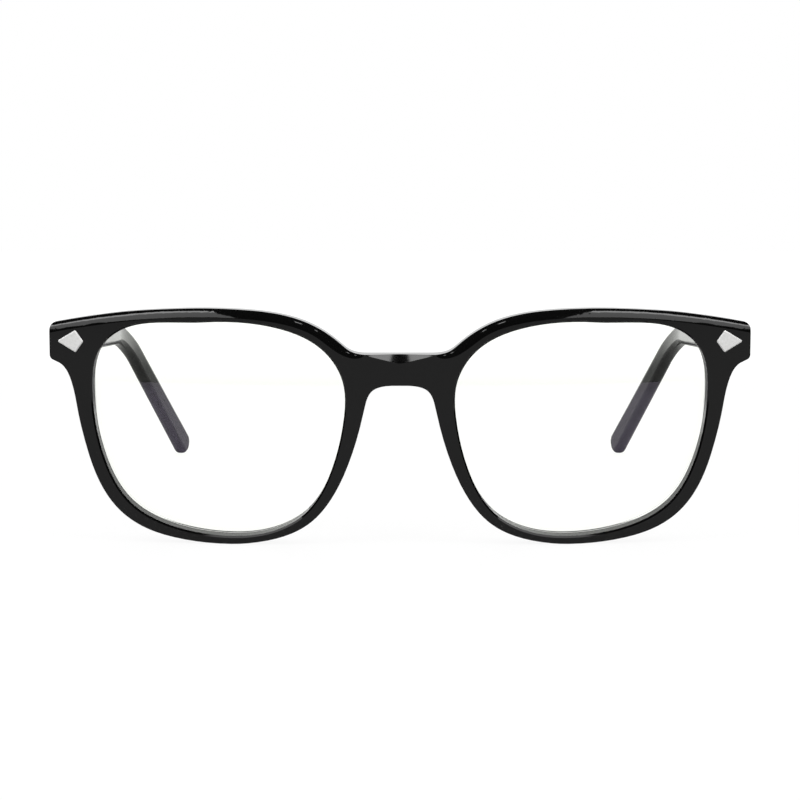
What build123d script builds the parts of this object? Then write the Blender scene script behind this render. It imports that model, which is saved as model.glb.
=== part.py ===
from build123d import *

import math
import os

# Square full-rim acetate spectacles, in millimetres. The front faces -Y, the temples run back
# towards +Y, and +Z is up. The object stands on the bottoms of its rims and on its temple tips.
# Left and right are the wearer's, so the right half has negative x.

# Lenses and rims
opening_width = 51.3
opening_height = 43.05
opening_rise = 6.6
bridge_gap = 22.0
rim_top = 2.8
rim_bottom = 1.65
outer_margin = 8.5
bridge_height = 6.2
bridge_top_drop = 9.05
bridge_top_half = 6.6

# Slab that the front is milled from
front_curve_radius = 400.0
back_curve_radius = 640.0
front_thickness = 5.4
end_corner_radius = 1.5
end_lower_corner_radius = 1.1

# Bevels of the front
brow_bevel_width = 1.8
brow_bevel_depth = 1.5
brow_bevel_bulge_share = 0.11
bridge_bevel_width = 1.8
bridge_bevel_depth = 1.7
bridge_bevel_half_length = 7.5
lip_bevel = 0.35
back_bevel = 0.6

# Lenses
lens_curve_radius = 240.0
lens_thickness = 1.9
lens_depth = 1.55
tongue_height = 0.55
tongue_thickness = 0.9
lens_clearance = 0.04

# End pieces and the joint behind them
lug_width = 8.9
lug_depth = 3.2
lug_bottom_gap = 0.35
lug_top_slope = 14.0
lug_fall_delay = 0.2
temple_gap = 0.15

# Rivet shields
shield_length = 5.5
shield_height = 4.5
shield_wide_share = 0.70
shield_tip_inset = 1.55
shield_below_hinge = 0.18
shield_thickness = 0.65
shield_proud = 0.3
shield_bevel_share = 0.6
shield_corner_radius = 0.28
pin_radius = 0.5
pin_spacing = 2.1
pin_end_share = 0.2

# Hinges
knuckle_radius = 1.25
knuckle_height = 1.0
knuckle_gap = 0.06
hinge_running_clearance = 0.05
knuckle_web_half_share = 0.72
screw_radius = 0.55
screw_head_radius = 1.0
screw_head_height = 0.45
screw_slot_width = 0.3
screw_slot_depth = 0.22
plate_thickness = 1.0
front_plate_width = 3.5
front_plate_height = 5.7
temple_plate_length = 8.2
temple_plate_height = 4.1
hinge_side_offset = 1.75

# Temples
temple_height_hinge = 6.8
temple_height_bend = 4.6
temple_height_tip = 5.6
temple_thickness_hinge = 4.0
temple_thickness_bend = 2.9
temple_thickness_tip = 3.4
temple_side_inset = 0.45
hinge_height = 40.9
bend_distance = 86.8
shaft_slope = 4.4
ear_drop = 40.0
ear_bend_radius = 30.0
ear_inward = 15.1
inward_bend_distance = 83.4
inward_bend_radius = 60.0
temple_edge_radius = 1.25
tip_round_share = 0.97

# Core wires
core_width = 1.0
core_height = 1.6
core_clearance = 0.03
core_end_margin = 12.0
core_start_margin = 1.3

# Nose pads
pad_length = 11.0
pad_width = 2.4
pad_depth = 3.6
pad_tilt = 12.8
pad_centre_height = 22.4
pad_flare = 0.3
pad_edge_radius = 0.5
pad_taper_share = 0.8
pad_seat_gap = 0.05

overrun = 3.0

# Derived sizes of the whole front
half_bridge = bridge_gap / 2
half_width = half_bridge + opening_width + outer_margin
front_height = rim_bottom + opening_height + rim_top
opening_centre_x = half_bridge + opening_width / 2
opening_centre_z = rim_bottom + opening_height / 2
bridge_top = front_height - bridge_top_drop
arch_top = bridge_top - bridge_height

# Shares of half the opening's width and height, round the lens opening from the top
opening_shares = [
    (0.10, 1.0),
    (0.475, 0.993),
    (0.765, 0.918),
    (0.943, 0.726),
    (1.0, 0.350),
    (0.919, -0.253),
    (0.703, -0.703),
    (0.370, -0.918),
    (-0.014, -1.0),
    (-0.409, -0.960),
    (-0.690, -0.780),
    (-0.888, -0.394),
    (-0.987, 0.077),
    (-0.982, 0.448),
    (-0.825, 0.744),
    (-0.526, 0.930),
]

# Shares of half the front's width and of its height, along the brow from the bridge outwards
brow_shares = [
    (0.1405, 0.8226),
    (0.1688, 0.8540),
    (0.2531, 0.9358),
    (0.3376, 0.9756),
    (0.4506, 0.9954),
    (0.5641, 1.0),
    (0.6790, 0.9946),
    (0.7932, 0.9819),
    (0.8800, 0.9642),
]
brow_end_share = 0.9326

# Shares of the same, down the outer side of a rim to its lowest point
outer_side_shares = [
    (0.9377, 0.6868),
    (0.9189, 0.5514),
    (0.8975, 0.4151),
    (0.8662, 0.2788),
    (0.8058, 0.1426),
    (0.7438, 0.0750),
    (0.6284, 0.0197),
]
rim_low_share = 0.4800
end_lower_shares = (0.9703, 0.7631)
end_corner_lower_share = 0.7840

# Shares from the rim's lowest point up the nose side to the arch under the bridge
nose_side_shares = [
    (0.3987, 0.0105),
    (0.3129, 0.0447),
    (0.2556, 0.0933),
    (0.1986, 0.1883),
    (0.1415, 0.3637),
    (0.1154, 0.4879),
    (0.0992, 0.5891),
]
arch_shares = [(0.0918, 0.6270), (0.0777, 0.6572), (0.0551, 0.6730)]

# Shares along the brow bevel: how far the brow has run, and how wide the bevel is there
bevel_station_shares = [
    (0.005, 0.02),
    (0.03, 0.55),
    (0.07, 0.90),
    (0.16, 1.0),
    (0.30, 1.0),
    (0.50, 1.0),
    (0.72, 1.0),
    (0.90, 0.97),
    (1.0, 0.92),
]


def front_y(x):
    """Depth of the front's curved face at a distance x from the middle."""
    return front_curve_radius - math.sqrt(front_curve_radius**2 - x**2)


def back_y(x):
    """Depth of the back of the slab."""
    return front_thickness + back_curve_radius - math.sqrt(back_curve_radius**2 - x**2)


butt_y = back_y(half_width - lug_width / 2) + lug_depth
temple_start_y = butt_y + temple_gap
inner_x = half_width - temple_side_inset - temple_thickness_hinge
axis_x = inner_x - hinge_side_offset
axis_y = butt_y + knuckle_radius + hinge_running_clearance
hinge_stack = 5 * knuckle_height + 4 * knuckle_gap
knuckle_bottom = hinge_height - hinge_stack / 2


def outline_point(share):
    """A point of the front's outline, from shares of half its width and its height."""
    return Vector(share[0] * half_width, 0, share[1] * front_height)


def guided_spline(points, start_direction, end_direction):
    """A smooth curve through the points that leaves and arrives in the given directions."""
    directions = [Vector(*start_direction).normalized(), Vector(*end_direction).normalized()]
    return Spline(points, tangents=directions, tangent_scalars=[1, 1])


def brow_edge():
    """The upper edge of one rim, from the bridge to the end piece."""
    start = Vector(bridge_top_half, 0, bridge_top)
    corner = Vector(half_width, 0, brow_end_share * front_height)
    points = [start] + [outline_point(share) for share in brow_shares] + [corner]
    return guided_spline(points, (1, 0, 0), (1, 0, -0.21))


def half_outline():
    """Face of the right-hand half of the front in the XZ plane, for x from zero up."""
    brow = brow_edge()
    low = Vector(rim_low_share * half_width, 0, 0)
    lower_corner = Vector(half_width, 0, end_corner_lower_share * front_height)
    end_lower = outline_point(end_lower_shares)
    side_points = [end_lower] + [outline_point(share) for share in outer_side_shares] + [low]
    side = guided_spline(side_points, (-0.85, 0, -0.53), (-1, 0, 0))
    arch_middle = Vector(0, 0, arch_top)
    nose_points = [low] + [outline_point(share) for share in nose_side_shares + arch_shares]
    nose = guided_spline(nose_points + [arch_middle], (-1, 0, 0), (-1, 0, 0))
    bridge_middle = Vector(0, 0, bridge_top)
    edges = [
        Line(bridge_middle, brow @ 0),
        brow,
        Line(brow @ 1, lower_corner),
        Line(lower_corner, end_lower),
        side,
        nose,
        Line(arch_middle, bridge_middle),
    ]
    face = Face(Wire(edges))
    top_corner = face.vertices().sort_by_distance(brow @ 1)[0]
    face = face.fillet_2d(end_corner_radius, [top_corner])
    bottom_corner = face.vertices().sort_by_distance(lower_corner)[0]
    return face.fillet_2d(end_lower_corner_radius, [bottom_corner])


def mirrored(shape):
    """The same shape on the other side of the nose."""
    return mirror(shape, about=Plane.YZ)


def slab():
    """The bent slab, thickest at the bridge."""
    reach = half_width + overrun
    front_arc = ThreePointArc(
        (-reach, front_y(reach), 0), (0, front_y(0), 0), (reach, front_y(reach), 0)
    )
    back_arc = ThreePointArc((reach, back_y(reach), 0), (0, back_y(0), 0), (-reach, back_y(reach), 0))
    ends = [Line(front_arc @ 1, back_arc @ 0), Line(back_arc @ 1, front_arc @ 0)]
    face = Face(Wire([front_arc, ends[0], back_arc, ends[1]]))
    solid = extrude(face, front_height + 2 * overrun, dir=(0, 0, 1))
    return Pos(0, 0, -overrun) * solid


def rim_plane():
    """Plane of the left lens opening, square to the curved face at the opening's middle."""
    wrap = math.asin(opening_centre_x / front_curve_radius)
    origin = (opening_centre_x, front_y(opening_centre_x), opening_centre_z)
    x_direction = (math.cos(wrap), math.sin(wrap), 0)
    normal = (math.sin(wrap), -math.cos(wrap), 0)
    return Plane(origin=origin, x_dir=x_direction, z_dir=normal)


def opening_prism(growth, ahead, behind):
    """The lens opening's outline, grown all round, as a prism that rises towards the back."""
    half_w = opening_width / 2 + growth
    half_h = opening_height / 2 + growth
    points = [(half_w * u, half_h * v) for u, v in opening_shares]
    face = Face(Wire(Spline(points, periodic=True)))
    rise = math.radians(opening_rise)
    length = (ahead + behind) / math.cos(rise)
    solid = extrude(face, length, dir=(0, -math.sin(rise), math.cos(rise)))
    return rim_plane() * (Pos(0, behind * math.tan(rise), -behind) * solid)


def lens_shell(front_depth, thickness):
    """A thick spherical shell that follows the lens's curve."""
    centre = rim_plane().origin - rim_plane().z_dir * (lens_curve_radius + front_depth)
    outer = Sphere(lens_curve_radius)
    inner = Sphere(lens_curve_radius - thickness)
    return Pos(*centre) * (outer - inner)


def lens():
    """The left lens: its body fills the opening, and a tongue round it sits in the rim's groove."""
    reach = lens_depth + lens_thickness + 2 * overrun
    body = opening_prism(-lens_clearance, overrun, reach) & lens_shell(lens_depth, lens_thickness)
    inset = (lens_thickness - tongue_thickness) / 2
    tongue_shell = lens_shell(lens_depth + inset, tongue_thickness)
    tongue = opening_prism(tongue_height, overrun, reach) & tongue_shell
    return body + tongue


def groove():
    """What the lens tongue takes out of the left rim."""
    reach = lens_depth + lens_thickness + 2 * overrun
    inset = (lens_thickness - tongue_thickness) / 2 - lens_clearance
    shell = lens_shell(lens_depth + inset, tongue_thickness + 2 * lens_clearance)
    return opening_prism(tongue_height + lens_clearance, overrun, reach) & shell


def brow_bevel():
    """Cutter for the bevel along the left half's brow, which runs out where the bridge begins."""
    brow = brow_edge()
    sections = []
    for run_share, width_share in bevel_station_shares:
        point = brow.position_at(run_share)
        along = brow.tangent_at(run_share)
        sections.append(bevel_section(point, along, width_share))
    past_end = brow.position_at(1) + brow.tangent_at(1) * overrun
    sections.append(bevel_section(past_end, brow.tangent_at(1), bevel_station_shares[-1][1]))
    return Solid.make_loft(sections)


def bevel_section(point, along, width_share):
    """Outline across the bevel, which bulges a little, from ahead of the face to above the brow."""
    outward = Vector(-along.Z, 0, along.X)
    width = brow_bevel_width * width_share
    depth = brow_bevel_depth * width_share
    depth_here = Vector(0, front_y(point.X), 0)
    on_face = point - outward * width + depth_here
    on_wall = point + Vector(0, depth, 0) + depth_here
    across = on_wall - on_face
    bulge = across.cross(along.normalized()) * brow_bevel_bulge_share
    if bulge.Y > 0:
        bulge = bulge * -1
    crown = ThreePointArc(on_face, (on_face + on_wall) / 2 + bulge, on_wall)
    ahead = on_face - (crown % 0) * overrun
    above = on_wall + (crown % 1) * overrun
    corner = point + outward * overrun + depth_here - Vector(0, overrun, 0)
    lines = [Line(above, corner), Line(corner, ahead)]
    return Wire([Line(ahead, on_face), crown, Line(on_wall, above)] + lines)


def bridge_bevel():
    """Cutter for one half of the V-shaped bevel over the bridge."""
    end = Vector(bridge_bevel_half_length, front_y(bridge_bevel_half_length), bridge_top)
    middle_low = Vector(0, 0, bridge_top - bridge_bevel_width)
    middle_back = Vector(0, bridge_bevel_depth, bridge_top)
    down = (middle_low - end).normalized()
    normal = (middle_back - end).cross(middle_low - end).normalized()
    if normal.Y > 0:
        normal = normal * -1
    plane = Plane(origin=end, x_dir=down, z_dir=normal)
    reach = 2 * bridge_bevel_half_length
    block = plane * Pos(0, 0, overrun / 2) * Box(2 * reach, 2 * reach, overrun)
    keep_centre = Pos(bridge_bevel_half_length / 2, 0, bridge_top)
    keep = keep_centre * Box(bridge_bevel_half_length, 2 * reach, 2 * reach)
    return block & keep


def above_brow():
    """Face over the brow of the left half, from the brow up to clear of everything."""
    brow = brow_edge()
    past_end = brow @ 1 + brow.tangent_at(1) * overrun
    high = front_height + overrun
    high_right = Vector(past_end.X, 0, high)
    high_left = Vector(bridge_top_half, 0, high)
    lines = [
        Line(brow @ 1, past_end),
        Line(past_end, high_right),
        Line(high_right, high_left),
        Line(high_left, brow @ 0),
    ]
    return Face(Wire([brow] + lines))


def lug():
    """Block behind the left end piece, against which the temple butts. Its top falls backwards."""
    start = back_y(half_width - lug_width) - back_bevel
    bottom = hinge_height - temple_height_hinge / 2 - lug_bottom_gap
    height = front_height - bottom
    depth = butt_y - start
    centre = (half_width - lug_width / 2, butt_y - depth / 2, bottom + height / 2)
    prism = extrude(half_outline(), 2 * butt_y, dir=(0, 1, 0))
    block = prism & (Pos(*centre) * Box(lug_width, depth, height))
    slope = math.radians(lug_top_slope)
    falling = extrude(above_brow(), butt_y, dir=(0, math.cos(slope), -math.sin(slope)))
    return block - Pos(0, back_y(half_width) + lug_fall_delay, 0) * falling


def shield_plane():
    """Plane of the left rivet shield, square to the curved face."""
    x = half_width - shield_tip_inset - shield_length * shield_wide_share
    wrap = math.asin(x / front_curve_radius)
    z = hinge_height - shield_below_hinge
    return Plane(
        origin=(x, front_y(x), z),
        x_dir=(math.cos(wrap), math.sin(wrap), 0),
        z_dir=(math.sin(wrap), -math.cos(wrap), 0),
    )


def kite(growth):
    """Face of the kite, long point outwards, with its widest line through the origin."""
    tip = shield_length * shield_wide_share + growth
    blunt = shield_length * (1 - shield_wide_share) + growth
    half = shield_height / 2 + growth
    points = [(tip, 0), (0, half), (-blunt, 0), (0, -half)]
    face = Face(Wire(Polyline(*points, close=True)))
    return face.fillet_2d(shield_corner_radius + growth, face.vertices())


def pin_places():
    """Where the two pins of a shield stand on its plane."""
    return [(0, pin_spacing / 2), (0, -pin_spacing / 2)]


def pins(radius, end_y):
    """The two pins, straight back from under the shield's face."""
    plane = shield_plane()
    found = []
    for u, v in pin_places():
        start = plane.origin + plane.x_dir * u + plane.y_dir * v
        length = end_y - start.Y
        found.append(Pos(start.X, start.Y + length / 2, start.Z) * cylinder_y(radius, length))
    return found


def cylinder_y(radius, length):
    """A cylinder along the Y axis, centred."""
    return Rot(90, 0, 0) * Cylinder(radius, length)


def rivet_shield():
    """The left kite-shaped rivet: a bevelled head and two pins in one piece."""
    head = extrude(kite(0), shield_thickness, dir=(0, 0, 1))
    top_edges = head.faces().sort_by(Axis.Z)[-1].edges()
    head = chamfer(top_edges, shield_proud * shield_bevel_share)
    solid = shield_plane() * Pos(0, 0, shield_proud - shield_thickness) * head
    for pin in pins(pin_radius, butt_y - plate_thickness * pin_end_share):
        solid = solid + pin
    return solid


def shield_pocket():
    """What the left shield and its pins take out of the end piece."""
    depth = shield_thickness - shield_proud + hinge_running_clearance
    pocket = extrude(kite(hinge_running_clearance), depth + overrun, dir=(0, 0, 1))
    solid = shield_plane() * Pos(0, 0, -depth) * pocket
    for pin in pins(pin_radius + hinge_running_clearance, butt_y + overrun):
        solid = solid + pin
    return solid


def front_plate_block(clearance):
    """The left front hinge plate's block, sunk flush into the back of the end piece."""
    width = front_plate_width + 2 * clearance
    height = front_plate_height + 2 * clearance
    depth = plate_thickness + clearance
    centre = (inner_x - front_plate_width / 2, butt_y - depth / 2, hinge_height)
    return Pos(*centre) * Box(width, depth, height)


def knuckle_span(index):
    """Middle height of a knuckle, counted from the bottom."""
    return knuckle_bottom + knuckle_height / 2 + index * (knuckle_height + knuckle_gap)


def knuckles(indices, towards):
    """Barrels of one hinge half with the webs that join them to their plate."""
    web_half = knuckle_radius * knuckle_web_half_share
    found = []
    for index in indices:
        z = knuckle_span(index)
        barrel = Pos(axis_x, axis_y, z) * Cylinder(knuckle_radius, knuckle_height)
        if towards == "front":
            length = axis_y - butt_y + plate_thickness / 2
            web = Pos(axis_x, axis_y - length / 2, z) * Box(2 * web_half, length, knuckle_height)
        else:
            length = hinge_side_offset + plate_thickness / 2
            web = Pos(axis_x + length / 2, axis_y, z) * Box(length, 2 * web_half, knuckle_height)
        found.append(barrel + web)
    return found


def screw_bore():
    """The hole through all five knuckles."""
    radius = screw_radius + hinge_running_clearance
    return Pos(axis_x, axis_y, hinge_height) * Cylinder(radius, hinge_stack + 2 * overrun)


def hinge_front():
    """Fixed half of the left hinge: a sunk plate with three knuckles."""
    solid = front_plate_block(0)
    for knuckle in knuckles([0, 2, 4], "front"):
        solid = solid + knuckle
    solid = solid - screw_bore()
    pin_hole_end = butt_y - plate_thickness * pin_end_share + hinge_running_clearance
    for pin in pins(pin_radius + hinge_running_clearance, pin_hole_end):
        solid = solid - pin
    return solid


def temple_plate_block(clearance, ahead):
    """The left temple's hinge plate, sunk flush into the temple's inner side along its shaft."""
    length = temple_plate_length + clearance + ahead
    height = temple_plate_height + 2 * clearance
    depth = plate_thickness + clearance
    block = Pos(depth / 2, length / 2 - ahead, 0) * Box(depth, length, height)
    return Pos(inner_x, temple_start_y, hinge_height) * Rot(-shaft_slope, 0, 0) * block


def hinge_temple():
    """Moving half of the left hinge: a plate in the temple with two knuckles."""
    behind_butt = Pos(0, temple_start_y + front_height, 0) * Box(
        4 * half_width, 2 * front_height, 4 * front_height
    )
    solid = temple_plate_block(0, 0) & behind_butt
    for knuckle in knuckles([1, 3], "temple"):
        solid = solid + knuckle
    return solid - screw_bore()


def hinge_screw():
    """The left hinge's screw: a shank through the knuckles and a slotted head on top."""
    shank = Pos(axis_x, axis_y, hinge_height) * Cylinder(screw_radius, hinge_stack)
    top = hinge_height + hinge_stack / 2
    head = Cylinder(screw_head_radius, screw_head_height)
    slot = Pos(0, 0, screw_head_height / 2) * Box(
        2 * screw_head_radius + overrun, screw_slot_width, 2 * screw_slot_depth
    )
    return shank + Pos(axis_x, axis_y, top + screw_head_height / 2) * (head - slot)


def shaft_direction():
    """Unit vector along the shaft, in the YZ plane."""
    angle = math.radians(shaft_slope)
    return Vector(0, math.cos(angle), -math.sin(angle))


def ear_direction():
    """Unit vector along the drop behind the ear, in the YZ plane."""
    angle = math.radians(ear_drop)
    return Vector(0, math.cos(angle), -math.sin(angle))


def upward(direction):
    """Normal of a direction in the YZ plane, pointing up."""
    return Vector(0, -direction.Z, direction.Y)


def side_band(start, half_heights, end_trim, round_end):
    """Side view of the temple, or of what lies inside it, between two edges."""
    shaft = shaft_direction()
    ear = ear_direction()
    origin = Vector(0, temple_start_y, hinge_height)
    bend = origin + shaft * bend_distance
    tip_centre = bend + ear * ((bend.Z - temple_height_tip / 2) / -ear.Z)
    end = tip_centre + ear * (temple_height_tip / 2 - end_trim)
    begin = origin + shaft * start
    up_shaft = upward(shaft)
    up_ear = upward(ear)
    up_bend = (up_shaft + up_ear) * (1 / (1 + up_shaft.dot(up_ear)))
    at_start, at_bend, at_end = half_heights
    points = [
        begin + up_shaft * at_start,
        bend + up_bend * at_bend,
        end + up_ear * at_end,
        end - up_ear * at_end,
        bend - up_bend * at_bend,
        begin - up_shaft * at_start,
    ]
    face = Face(Wire(Polyline(*points, close=True)))
    outer_bend = face.vertices().sort_by_distance(points[1])[0]
    face = face.fillet_2d(ear_bend_radius + at_bend, [outer_bend])
    inner_bend = face.vertices().sort_by_distance(points[4])[0]
    face = face.fillet_2d(ear_bend_radius - at_bend, [inner_bend])
    if round_end:
        near_end = face.vertices().sort_by_distance(end)[0:2]
        face = face.fillet_2d(at_end * tip_round_share, near_end)
    return face


def plan_band(inner_offset, widths):
    """Top view of the temple, or of what lies inside it: a band beside the temple's inner side."""
    at_start, at_bend, at_end = widths
    turn = math.radians(ear_inward)
    run = 2 * bend_distance
    inward = Vector(-math.sin(turn), math.cos(turn), 0)
    outward = Vector(math.cos(turn), math.sin(turn), 0)
    side = Vector(1, 0, 0)
    at_corner = (side + outward) * (1 / (1 + side.dot(outward)))
    start = Vector(inner_x, temple_start_y, 0)
    corner = start + Vector(0, inward_bend_distance, 0)
    end = corner + inward * run
    points = [
        start - Vector(0, overrun, 0) + side * inner_offset,
        corner + at_corner * inner_offset,
        end + outward * inner_offset,
        end + outward * (inner_offset + at_end),
        corner + at_corner * (inner_offset + at_bend),
        start - Vector(0, overrun, 0) + side * (inner_offset + at_start),
    ]
    face = Face(Wire(Polyline(*points, close=True)))
    inner_corner = face.vertices().sort_by_distance(points[1])[0]
    face = face.fillet_2d(inward_bend_radius, [inner_corner])
    outer_corner = face.vertices().sort_by_distance(points[4])[0]
    return face.fillet_2d(inward_bend_radius + at_bend, [outer_corner])


def bar(side_face, plan_face):
    """The solid that has one face as its side view and the other as its top view."""
    across = extrude(side_face, 2 * half_width, dir=(1, 0, 0))
    upright = extrude(plan_face, 2 * front_height, dir=(0, 0, 1))
    return across & (Pos(0, 0, -overrun) * upright)


def temple_blank():
    """The left temple before its hinge recess and core slot are cut."""
    half_heights = (temple_height_hinge / 2, temple_height_bend / 2, temple_height_tip / 2)
    widths = (temple_thickness_hinge, temple_thickness_bend, temple_thickness_tip)
    solid = bar(side_band(0, half_heights, 0, True), plan_band(0, widths))
    keep_from = Pos(0, temple_start_y + 2 * bend_distance, 0) * Box(
        4 * half_width, 4 * bend_distance, 4 * front_height
    )
    solid = solid & keep_from
    long_edges = [edge for edge in solid.edges() if edge.center().Y > temple_start_y + overrun]
    return fillet(long_edges, temple_edge_radius)


def core(growth):
    """The left core wire, or with some growth the slot that it lies in."""
    half = core_height / 2 + growth
    inner_offset = plate_thickness - growth
    width = core_width + 2 * growth
    side_face = side_band(
        core_start_margin - growth, (half, half, half), core_end_margin - growth, False
    )
    return bar(side_face, plan_band(inner_offset + core_clearance, (width, width, width)))


def temple():
    """The left temple with its hinge recess and core slot."""
    recess = temple_plate_block(hinge_running_clearance, overrun)
    return temple_blank() - recess - core(core_clearance)


def nose_pad():
    """The left nose pad, behind the nose side of the rim."""
    tilt = Rot(0, -pad_tilt, 0)
    nose_side = (nose_side_shares[4][0] + nose_side_shares[5][0]) / 2 * half_width
    x = nose_side + pad_width / 2
    seat = back_y(x)
    base = Pos(x, seat - overrun / 2, pad_centre_height) * tilt
    far = Pos(x + pad_flare, seat + pad_depth, pad_centre_height) * tilt
    near_face = Plane.XZ * SlotOverall(pad_length, pad_width, rotation=90)
    far_face = Plane.XZ * SlotOverall(
        pad_taper_share * pad_length, pad_taper_share * pad_width, rotation=90
    )
    solid = loft([(base * near_face).face(), (far * far_face).face()])
    rear_edges = solid.faces().sort_by(Axis.Y)[-1].edges()
    solid = fillet(rear_edges, pad_edge_radius)
    return solid - Pos(0, pad_seat_gap, 0) * slab()


def front():
    """Rims, bridge and end pieces in one piece, with everything that is cut into them."""
    half = half_outline()
    prism = extrude(half, 2 * butt_y, dir=(0, 1, 0))
    opening = opening_prism(0, overrun, butt_y)
    solid = (prism + mirrored(prism)) & slab()
    solid = solid - opening - mirrored(opening)
    rings = [edge for edge in solid.edges() if edge.is_closed]
    front_rings = [edge for edge in rings if edge.center().Y < front_thickness / 2]
    solid = chamfer(front_rings, lip_bevel)
    rings = [edge for edge in solid.edges() if edge.is_closed]
    back_rings = [edge for edge in rings if edge.center().Y > front_thickness]
    solid = chamfer(back_rings, back_bevel)
    block = lug()
    solid = solid + block + mirrored(block)
    for cutter in (
        groove(),
        brow_bevel(),
        bridge_bevel(),
        shield_pocket(),
        front_plate_block(hinge_running_clearance),
    ):
        solid = solid - cutter - mirrored(cutter)
    return solid


def build():
    """Every node by name, in the frame that the whole object stands in."""
    left = {
        "lens": lens(),
        "nose_pad": nose_pad(),
        "rivet_shield": rivet_shield(),
        "hinge_front": hinge_front(),
        "hinge_temple": hinge_temple(),
        "hinge_screw": hinge_screw(),
        "temple": temple(),
        "temple_core": core(0),
    }
    nodes = {"front": front()}
    for name, shape in left.items():
        nodes[name + "_left"] = shape
        nodes[name + "_right"] = mirrored(shape)
    return nodes


def standing_shift(nodes):
    """Move that brings the middle of the footprint to the origin, on the table."""
    boxes = [shape.bounding_box() for shape in nodes.values()]
    foremost = min(box.min.Y for box in boxes)
    rearmost = max(box.max.Y for box in boxes)
    lowest = min(box.min.Z for box in boxes)
    return Vector(0, -(foremost + rearmost) / 2, -lowest)


def stand(nodes):
    """Every node after that move."""
    shift = Pos(standing_shift(nodes))
    return {name: shift * shape for name, shape in nodes.items()}


def main():
    os.makedirs("parts", exist_ok=True)
    for name, shape in stand(build()).items():
        export_step(shape, f"parts/{name}.step")


if __name__ == "__main__":
    main()
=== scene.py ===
import math

import bpy
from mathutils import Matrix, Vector


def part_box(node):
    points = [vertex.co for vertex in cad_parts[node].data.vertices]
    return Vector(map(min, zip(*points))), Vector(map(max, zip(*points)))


# Square acetate spectacles on a white table, seen from in front and a little above. Everything is
# in metres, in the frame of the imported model. Left and right are the wearer's.

MM = 0.001
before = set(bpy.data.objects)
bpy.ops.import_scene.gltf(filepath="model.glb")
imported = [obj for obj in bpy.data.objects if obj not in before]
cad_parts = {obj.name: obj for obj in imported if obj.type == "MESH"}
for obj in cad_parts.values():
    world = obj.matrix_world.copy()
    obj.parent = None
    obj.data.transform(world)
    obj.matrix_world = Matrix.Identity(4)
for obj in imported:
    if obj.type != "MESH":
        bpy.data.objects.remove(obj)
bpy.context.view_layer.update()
front_low = Vector(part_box("front")[0])

# The camera stands this far before the front and over the table, and looks down by this angle.
CAMERA_DISTANCE = 450 * MM
CAMERA_HEIGHT = 81 * MM
CAMERA_PITCH = math.radians(6.538)
CAMERA_LENS = 102.06

# The table ends this far before the front, and its far edge is behind the object.
TABLE_FRONT = 935 * MM
TABLE_BACK = 1200 * MM
TABLE_HALF_WIDTH = 700 * MM

# Behind the object the table glows as painted light. The glow rises between these two places and stays full
# beyond them, so the temples show a bright reflection of it.
PAINTED_GLOW_START = 240 * MM
PAINTED_GLOW_END = 330 * MM
PAINTED_GLOW_STRENGTH = 0.85

# How white the table and the backdrop show where they are looked at. Through a lens they are a
# little stronger, by what its two surfaces reflect away.
TABLE_WHITE = 1.14
TABLE_WHITE_SHARE = 0.8
LENS_MAKES_UP = 0.12

# The world's soft light on dull surfaces, and where its white backdrop begins and is full for
# reflections, as shares of the way from behind the camera to behind the object.
SOFT_LIGHT = 0.85
BACKDROP_START = 0.35
BACKDROP_FULL = 0.85

# Lamps, in millimetres. A key softbox stands on each side, and the small cards hang level at one
# height over the brow. Each place is across and back from the middle of the object.
KEY_PLACE = (500, -350, 650)
KEY_AIM = (0, -30, 20)
KEY_SIZE = (450, 450)
KEY_RADIANCE = 3.5
CARD_HEIGHT = 90
CARDS = {
    "brow_card": ((81, -72), (70, 12), 5.5),
    "brow_card_front": ((81, -99), (70, 42), 1.9),
    "bridge_card": ((8.7, -75.5), (5, 6), 5.0),
}


def linear(hex_colour):
    """Linear RGBA of an sRGB hex colour."""
    channels = []
    for start in (0, 2, 4):
        value = int(hex_colour[start:start + 2], 16) / 255
        channels.append(value / 12.92 if value <= 0.04045 else ((value + 0.055) / 1.055) ** 2.4)
    return (*channels, 1)


def node(tree, kind, settings=None, links=None):
    """Adds a node with its settings and the links that lead into it."""
    added = tree.nodes.new(kind)
    for key, value in (settings or {}).items():
        if isinstance(key, str) and hasattr(added, key):
            setattr(added, key, value)
        else:
            added.inputs[key].default_value = value
    for key, source in (links or {}).items():
        tree.links.new(source, added.inputs[key])
    return added


def new_material(name):
    """An empty material and its tree, with the output node."""
    material = bpy.data.materials.new(name)
    material.use_nodes = True
    tree = material.node_tree
    tree.nodes.clear()
    return material, tree, tree.nodes.new("ShaderNodeOutputMaterial")


def polished_acetate():
    """Cellulose acetate, tumbled and hand polished: near black, mirror smooth, a faint orange peel."""
    material, tree, output = new_material("polished black cellulose acetate")
    place = node(tree, "ShaderNodeTexCoord")
    peel = node(tree, "ShaderNodeTexNoise", {"Scale": 1 / (6 * MM), "Detail": 2.0},
                {"Vector": place.outputs["Object"]})
    wipe = node(tree, "ShaderNodeTexNoise", {"Scale": 1 / (14 * MM), "Detail": 5.0},
                {"Vector": place.outputs["Object"]})
    tone = node(tree, "ShaderNodeValToRGB", links={"Fac": wipe.outputs["Fac"]})
    tone.color_ramp.elements[0].color = linear("070707")
    tone.color_ramp.elements[1].color = linear("0C0C0C")
    gloss = node(tree, "ShaderNodeMapRange", {"To Min": 0.045, "To Max": 0.09},
                 {"Value": wipe.outputs["Fac"]})
    bump = node(tree, "ShaderNodeBump", {"Strength": 0.05, "Distance": 0.02 * MM},
                {"Height": peel.outputs["Fac"]})
    shader = node(tree, "ShaderNodeBsdfPrincipled", {"IOR": 1.48},
                  {"Base Color": tone.outputs["Color"], "Roughness": gloss.outputs["Result"],
                   "Normal": bump.outputs["Normal"]})
    tree.links.new(shader.outputs["BSDF"], output.inputs["Surface"])
    return material


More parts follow.
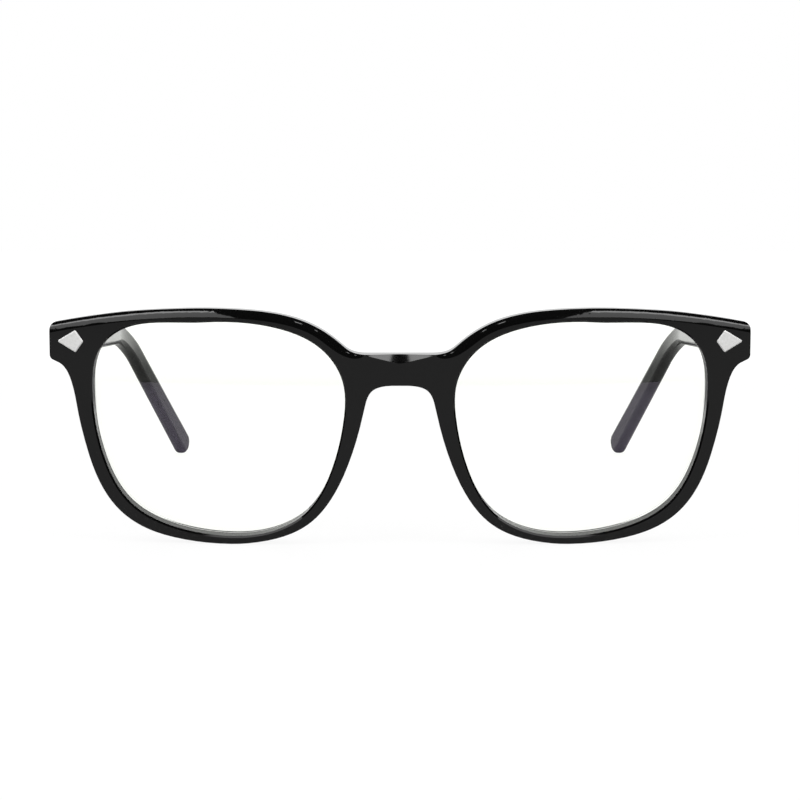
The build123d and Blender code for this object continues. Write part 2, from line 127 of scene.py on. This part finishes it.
def lens_plastic():
    """Clear CR-39 lens, cast and hard coated: colourless, with a faint violet surface reflection."""
    material, tree, output = new_material("clear cast lens plastic")
    place = node(tree, "ShaderNodeTexCoord")
    film = node(tree, "ShaderNodeTexNoise", {"Scale": 1 / (30 * MM), "Detail": 1.0},
                {"Vector": place.outputs["Object"]})
    smear = node(tree, "ShaderNodeMapRange", {"To Min": 0.0, "To Max": 0.012},
                 {"Value": film.outputs["Fac"]})
    glass = node(tree, "ShaderNodeBsdfPrincipled",
                 {"IOR": 1.67, "Transmission Weight": 1.0, "Base Color": linear("FFFFFF"),
                  "Specular Tint": linear("E6D6FF")},
                 {"Roughness": smear.outputs["Result"]})
    clear = node(tree, "ShaderNodeBsdfTransparent", {"Color": linear("FFFFFF")})
    rays = node(tree, "ShaderNodeLightPath")
    mixed = node(tree, "ShaderNodeMixShader",
                 links={0: rays.outputs["Is Shadow Ray"], 1: glass.outputs["BSDF"],
                        2: clear.outputs["BSDF"]})
    tree.links.new(mixed.outputs["Shader"], output.inputs["Surface"])
    return material


def metal(name, light, dark, low_gloss, high_gloss, grain, purity=1.0):
    """A metal with the slight blotches that tumbling leaves, at a grain size in metres."""
    material, tree, output = new_material(name)
    place = node(tree, "ShaderNodeTexCoord")
    blotch = node(tree, "ShaderNodeTexNoise", {"Scale": 1 / grain, "Detail": 6.0},
                  {"Vector": place.outputs["Object"]})
    tone = node(tree, "ShaderNodeValToRGB", links={"Fac": blotch.outputs["Fac"]})
    tone.color_ramp.elements[0].position = 0.3
    tone.color_ramp.elements[1].position = 0.7
    tone.color_ramp.elements[0].color = linear(dark)
    tone.color_ramp.elements[1].color = linear(light)
    gloss = node(tree, "ShaderNodeMapRange", {"To Min": low_gloss, "To Max": high_gloss},
                 {"Value": blotch.outputs["Fac"]})
    bump = node(tree, "ShaderNodeBump", {"Strength": 0.15, "Distance": 0.01 * MM},
                {"Height": blotch.outputs["Fac"]})
    shader = node(tree, "ShaderNodeBsdfPrincipled", {"Metallic": purity},
                  {"Base Color": tone.outputs["Color"], "Roughness": gloss.outputs["Result"],
                   "Normal": bump.outputs["Normal"]})
    tree.links.new(shader.outputs["BSDF"], output.inputs["Surface"])
    return material


acetate = polished_acetate()
lens_clear = lens_plastic()

# The rivets' silver lacquer is satin, so it shows pale and even from all sides. The hinges are
# tumbled, which leaves soft blotches. The screws are turned bright, and the drawn wire is duller.
rivet_silver = metal("satin silver rivet", "FBFBFA", "EDEDEB", 0.4, 0.5, 0.35 * MM, 0.2)
hinge_metal = metal("tumbled nickel silver hinge", "C9C8C4", "A9A8A3", 0.2, 0.35, 0.6 * MM)
screw_metal = metal("turned steel screw", "CFCFCF", "AAAAAA", 0.15, 0.25, 0.2 * MM)
wire_metal = metal("drawn nickel silver wire", "BDBCB8", "9C9B96", 0.25, 0.4, 0.5 * MM)

material_of = {
    "front": acetate,
    "nose_pad": acetate,
    "temple": acetate,
    "lens": lens_clear,
    "rivet_shield": rivet_silver,
    "hinge_front": hinge_metal,
    "hinge_temple": hinge_metal,
    "hinge_screw": screw_metal,
    "temple_core": wire_metal,
}

for name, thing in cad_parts.items():
    base = name.removesuffix("_left").removesuffix("_right")
    for part_slot in thing.material_slots:
        part_slot.material = material_of[base]
    if not thing.material_slots:
        thing.data.materials.append(material_of[base])


def flat_sheet(name, corners):
    """A single rectangle, linked to the scene."""
    mesh = bpy.data.meshes.new(name)
    mesh.from_pydata(corners, [], [(0, 1, 2, 3)])
    sheet = bpy.data.objects.new(name, mesh)
    bpy.context.collection.objects.link(sheet)
    return sheet


def straight_view(tree):
    """One for a ray from the camera, or through a lens only, and zero for any reflection."""
    rays = node(tree, "ShaderNodeLightPath")
    unreflected = node(tree, "ShaderNodeMath", {"operation": "LESS_THAN", 1: 0.5},
                       {0: rays.outputs["Glossy Depth"]})
    through = node(tree, "ShaderNodeMath", {"operation": "MULTIPLY"},
                   {0: rays.outputs["Is Transmission Ray"], 1: unreflected.outputs["Value"]})
    return node(tree, "ShaderNodeMath", {"operation": "MAXIMUM"},
                {0: rays.outputs["Is Camera Ray"], 1: through.outputs["Value"]}), through


def table_top():
    """White laminate table: it shows as white, still takes a faint shadow, and glows with painted light
    behind the object.
    """
    material, tree, output = new_material("white laminate table")
    place = node(tree, "ShaderNodeTexCoord")
    grain = node(tree, "ShaderNodeTexNoise", {"Scale": 1 / (3 * MM), "Detail": 3.0},
                 {"Vector": place.outputs["Object"]})
    gloss = node(tree, "ShaderNodeMapRange", {"To Min": 0.5, "To Max": 0.62},
                 {"Value": grain.outputs["Fac"]})
    split = node(tree, "ShaderNodeSeparateXYZ", links={"Vector": place.outputs["Object"]})
    # Painted glow: behind the object the table gives off light of its own, which lights the object and
    # shows in the temples as a bright reflection.
    painted_glow = node(tree, "ShaderNodeMapRange",
                {"From Min": PAINTED_GLOW_START, "From Max": PAINTED_GLOW_END, "To Min": 0.0,
                 "To Max": PAINTED_GLOW_STRENGTH},
                {"Value": split.outputs["Y"]})
    lit = node(tree, "ShaderNodeBsdfPrincipled",
               {"Base Color": linear("A6A6A6"), "Emission Color": linear("FFFFFF")},
               {"Roughness": gloss.outputs["Result"], "Emission Strength": painted_glow.outputs["Result"]})
    straight, through = straight_view(tree)
    strength = node(tree, "ShaderNodeMath", {"operation": "MULTIPLY_ADD", 1: LENS_MAKES_UP, 2: TABLE_WHITE},
                    {0: through.outputs["Value"]})
    white = node(tree, "ShaderNodeEmission", {"Color": linear("FFFFFF")},
                 {"Strength": strength.outputs["Value"]})
    share = node(tree, "ShaderNodeMath", {"operation": "MULTIPLY", 1: TABLE_WHITE_SHARE},
                 {0: straight.outputs["Value"]})
    mixed = node(tree, "ShaderNodeMixShader",
                 links={0: share.outputs["Value"], 1: lit.outputs["BSDF"],
                        2: white.outputs["Emission"]})
    tree.links.new(mixed.outputs["Shader"], output.inputs["Surface"])
    return material


near_edge = front_low.y - TABLE_FRONT
far_edge = front_low.y + TABLE_BACK
table = flat_sheet("table_top", [
    (-TABLE_HALF_WIDTH, near_edge, 0),
    (TABLE_HALF_WIDTH, near_edge, 0),
    (TABLE_HALF_WIDTH, far_edge, 0),
    (-TABLE_HALF_WIDTH, far_edge, 0),
])
table.data.materials.append(table_top())


def softbox(name, place, aim, size, radiance):
    """A rectangular studio lamp that faces the point it is aimed at, with an even brightness."""
    lamp = bpy.data.lights.new(name, "AREA")
    lamp.shape = "RECTANGLE"
    lamp.size = size[0] * MM
    lamp.size_y = size[1] * MM
    lamp.energy = radiance * math.pi * lamp.size * lamp.size_y
    holder = bpy.data.objects.new(name, lamp)
    holder.location = Vector(place) * MM
    holder.rotation_euler = (Vector(aim) - Vector(place)).to_track_quat("-Z", "Y").to_euler()
    bpy.context.collection.objects.link(holder)
    return holder


# Two big softboxes give the soft light. The small cards only show as reflections in the polish:
# two on each side along the brow's outer half, and a small one for each arm of the bridge facet.
for side in (-1, 1):
    key = softbox("key", (side * KEY_PLACE[0], *KEY_PLACE[1:]), KEY_AIM, KEY_SIZE, KEY_RADIANCE)
    key.visible_glossy = False
    for name, ((across, back), size, radiance) in CARDS.items():
        card = softbox(name, (side * across, back, CARD_HEIGHT), (side * across, back, 0), size,
                       radiance)
        card.visible_diffuse = False


def studio_world():
    """White where it is looked at; reflections see a white backdrop behind and dark above."""
    world = bpy.data.worlds.new("studio")
    world.use_nodes = True
    bpy.context.scene.world = world
    tree = world.node_tree
    tree.nodes.clear()
    place = node(tree, "ShaderNodeTexCoord")
    split = node(tree, "ShaderNodeSeparateXYZ", links={"Vector": place.outputs["Generated"]})
    behind = node(tree, "ShaderNodeMapRange",
                  {"From Min": BACKDROP_START, "From Max": BACKDROP_FULL, "To Min": 0.0, "To Max": 1.0},
                  {"Value": split.outputs["Y"]})
    rays = node(tree, "ShaderNodeLightPath")
    soft = node(tree, "ShaderNodeMath", {"operation": "MULTIPLY", 1: SOFT_LIGHT},
                {0: rays.outputs["Is Diffuse Ray"]})
    shown = node(tree, "ShaderNodeMath", {"operation": "MAXIMUM"},
                 {0: soft.outputs["Value"], 1: behind.outputs["Result"]})
    straight, through = straight_view(tree)
    white = node(tree, "ShaderNodeMath", {"operation": "MULTIPLY_ADD", 1: LENS_MAKES_UP},
                 {0: through.outputs["Value"], 2: straight.outputs["Value"]})
    strength = node(tree, "ShaderNodeMath", {"operation": "MAXIMUM"},
                    {0: shown.outputs["Value"], 1: white.outputs["Value"]})
    background = node(tree, "ShaderNodeBackground", {"Color": linear("FFFFFF")},
                      {"Strength": strength.outputs["Value"]})
    output = tree.nodes.new("ShaderNodeOutputWorld")
    tree.links.new(background.outputs["Background"], output.inputs["Surface"])


studio_world()

camera = bpy.data.cameras.new("camera")
camera.lens = CAMERA_LENS
camera.sensor_width = 36
camera.clip_start = 0.01
camera_stand = bpy.data.objects.new("camera", camera)
camera_stand.location = (0, front_low.y - CAMERA_DISTANCE, CAMERA_HEIGHT)
camera_stand.rotation_euler = (math.pi / 2 - CAMERA_PITCH, 0, 0)
bpy.context.collection.objects.link(camera_stand)
bpy.context.scene.camera = camera_stand
bpy.context.scene.view_settings.view_transform = "Standard"
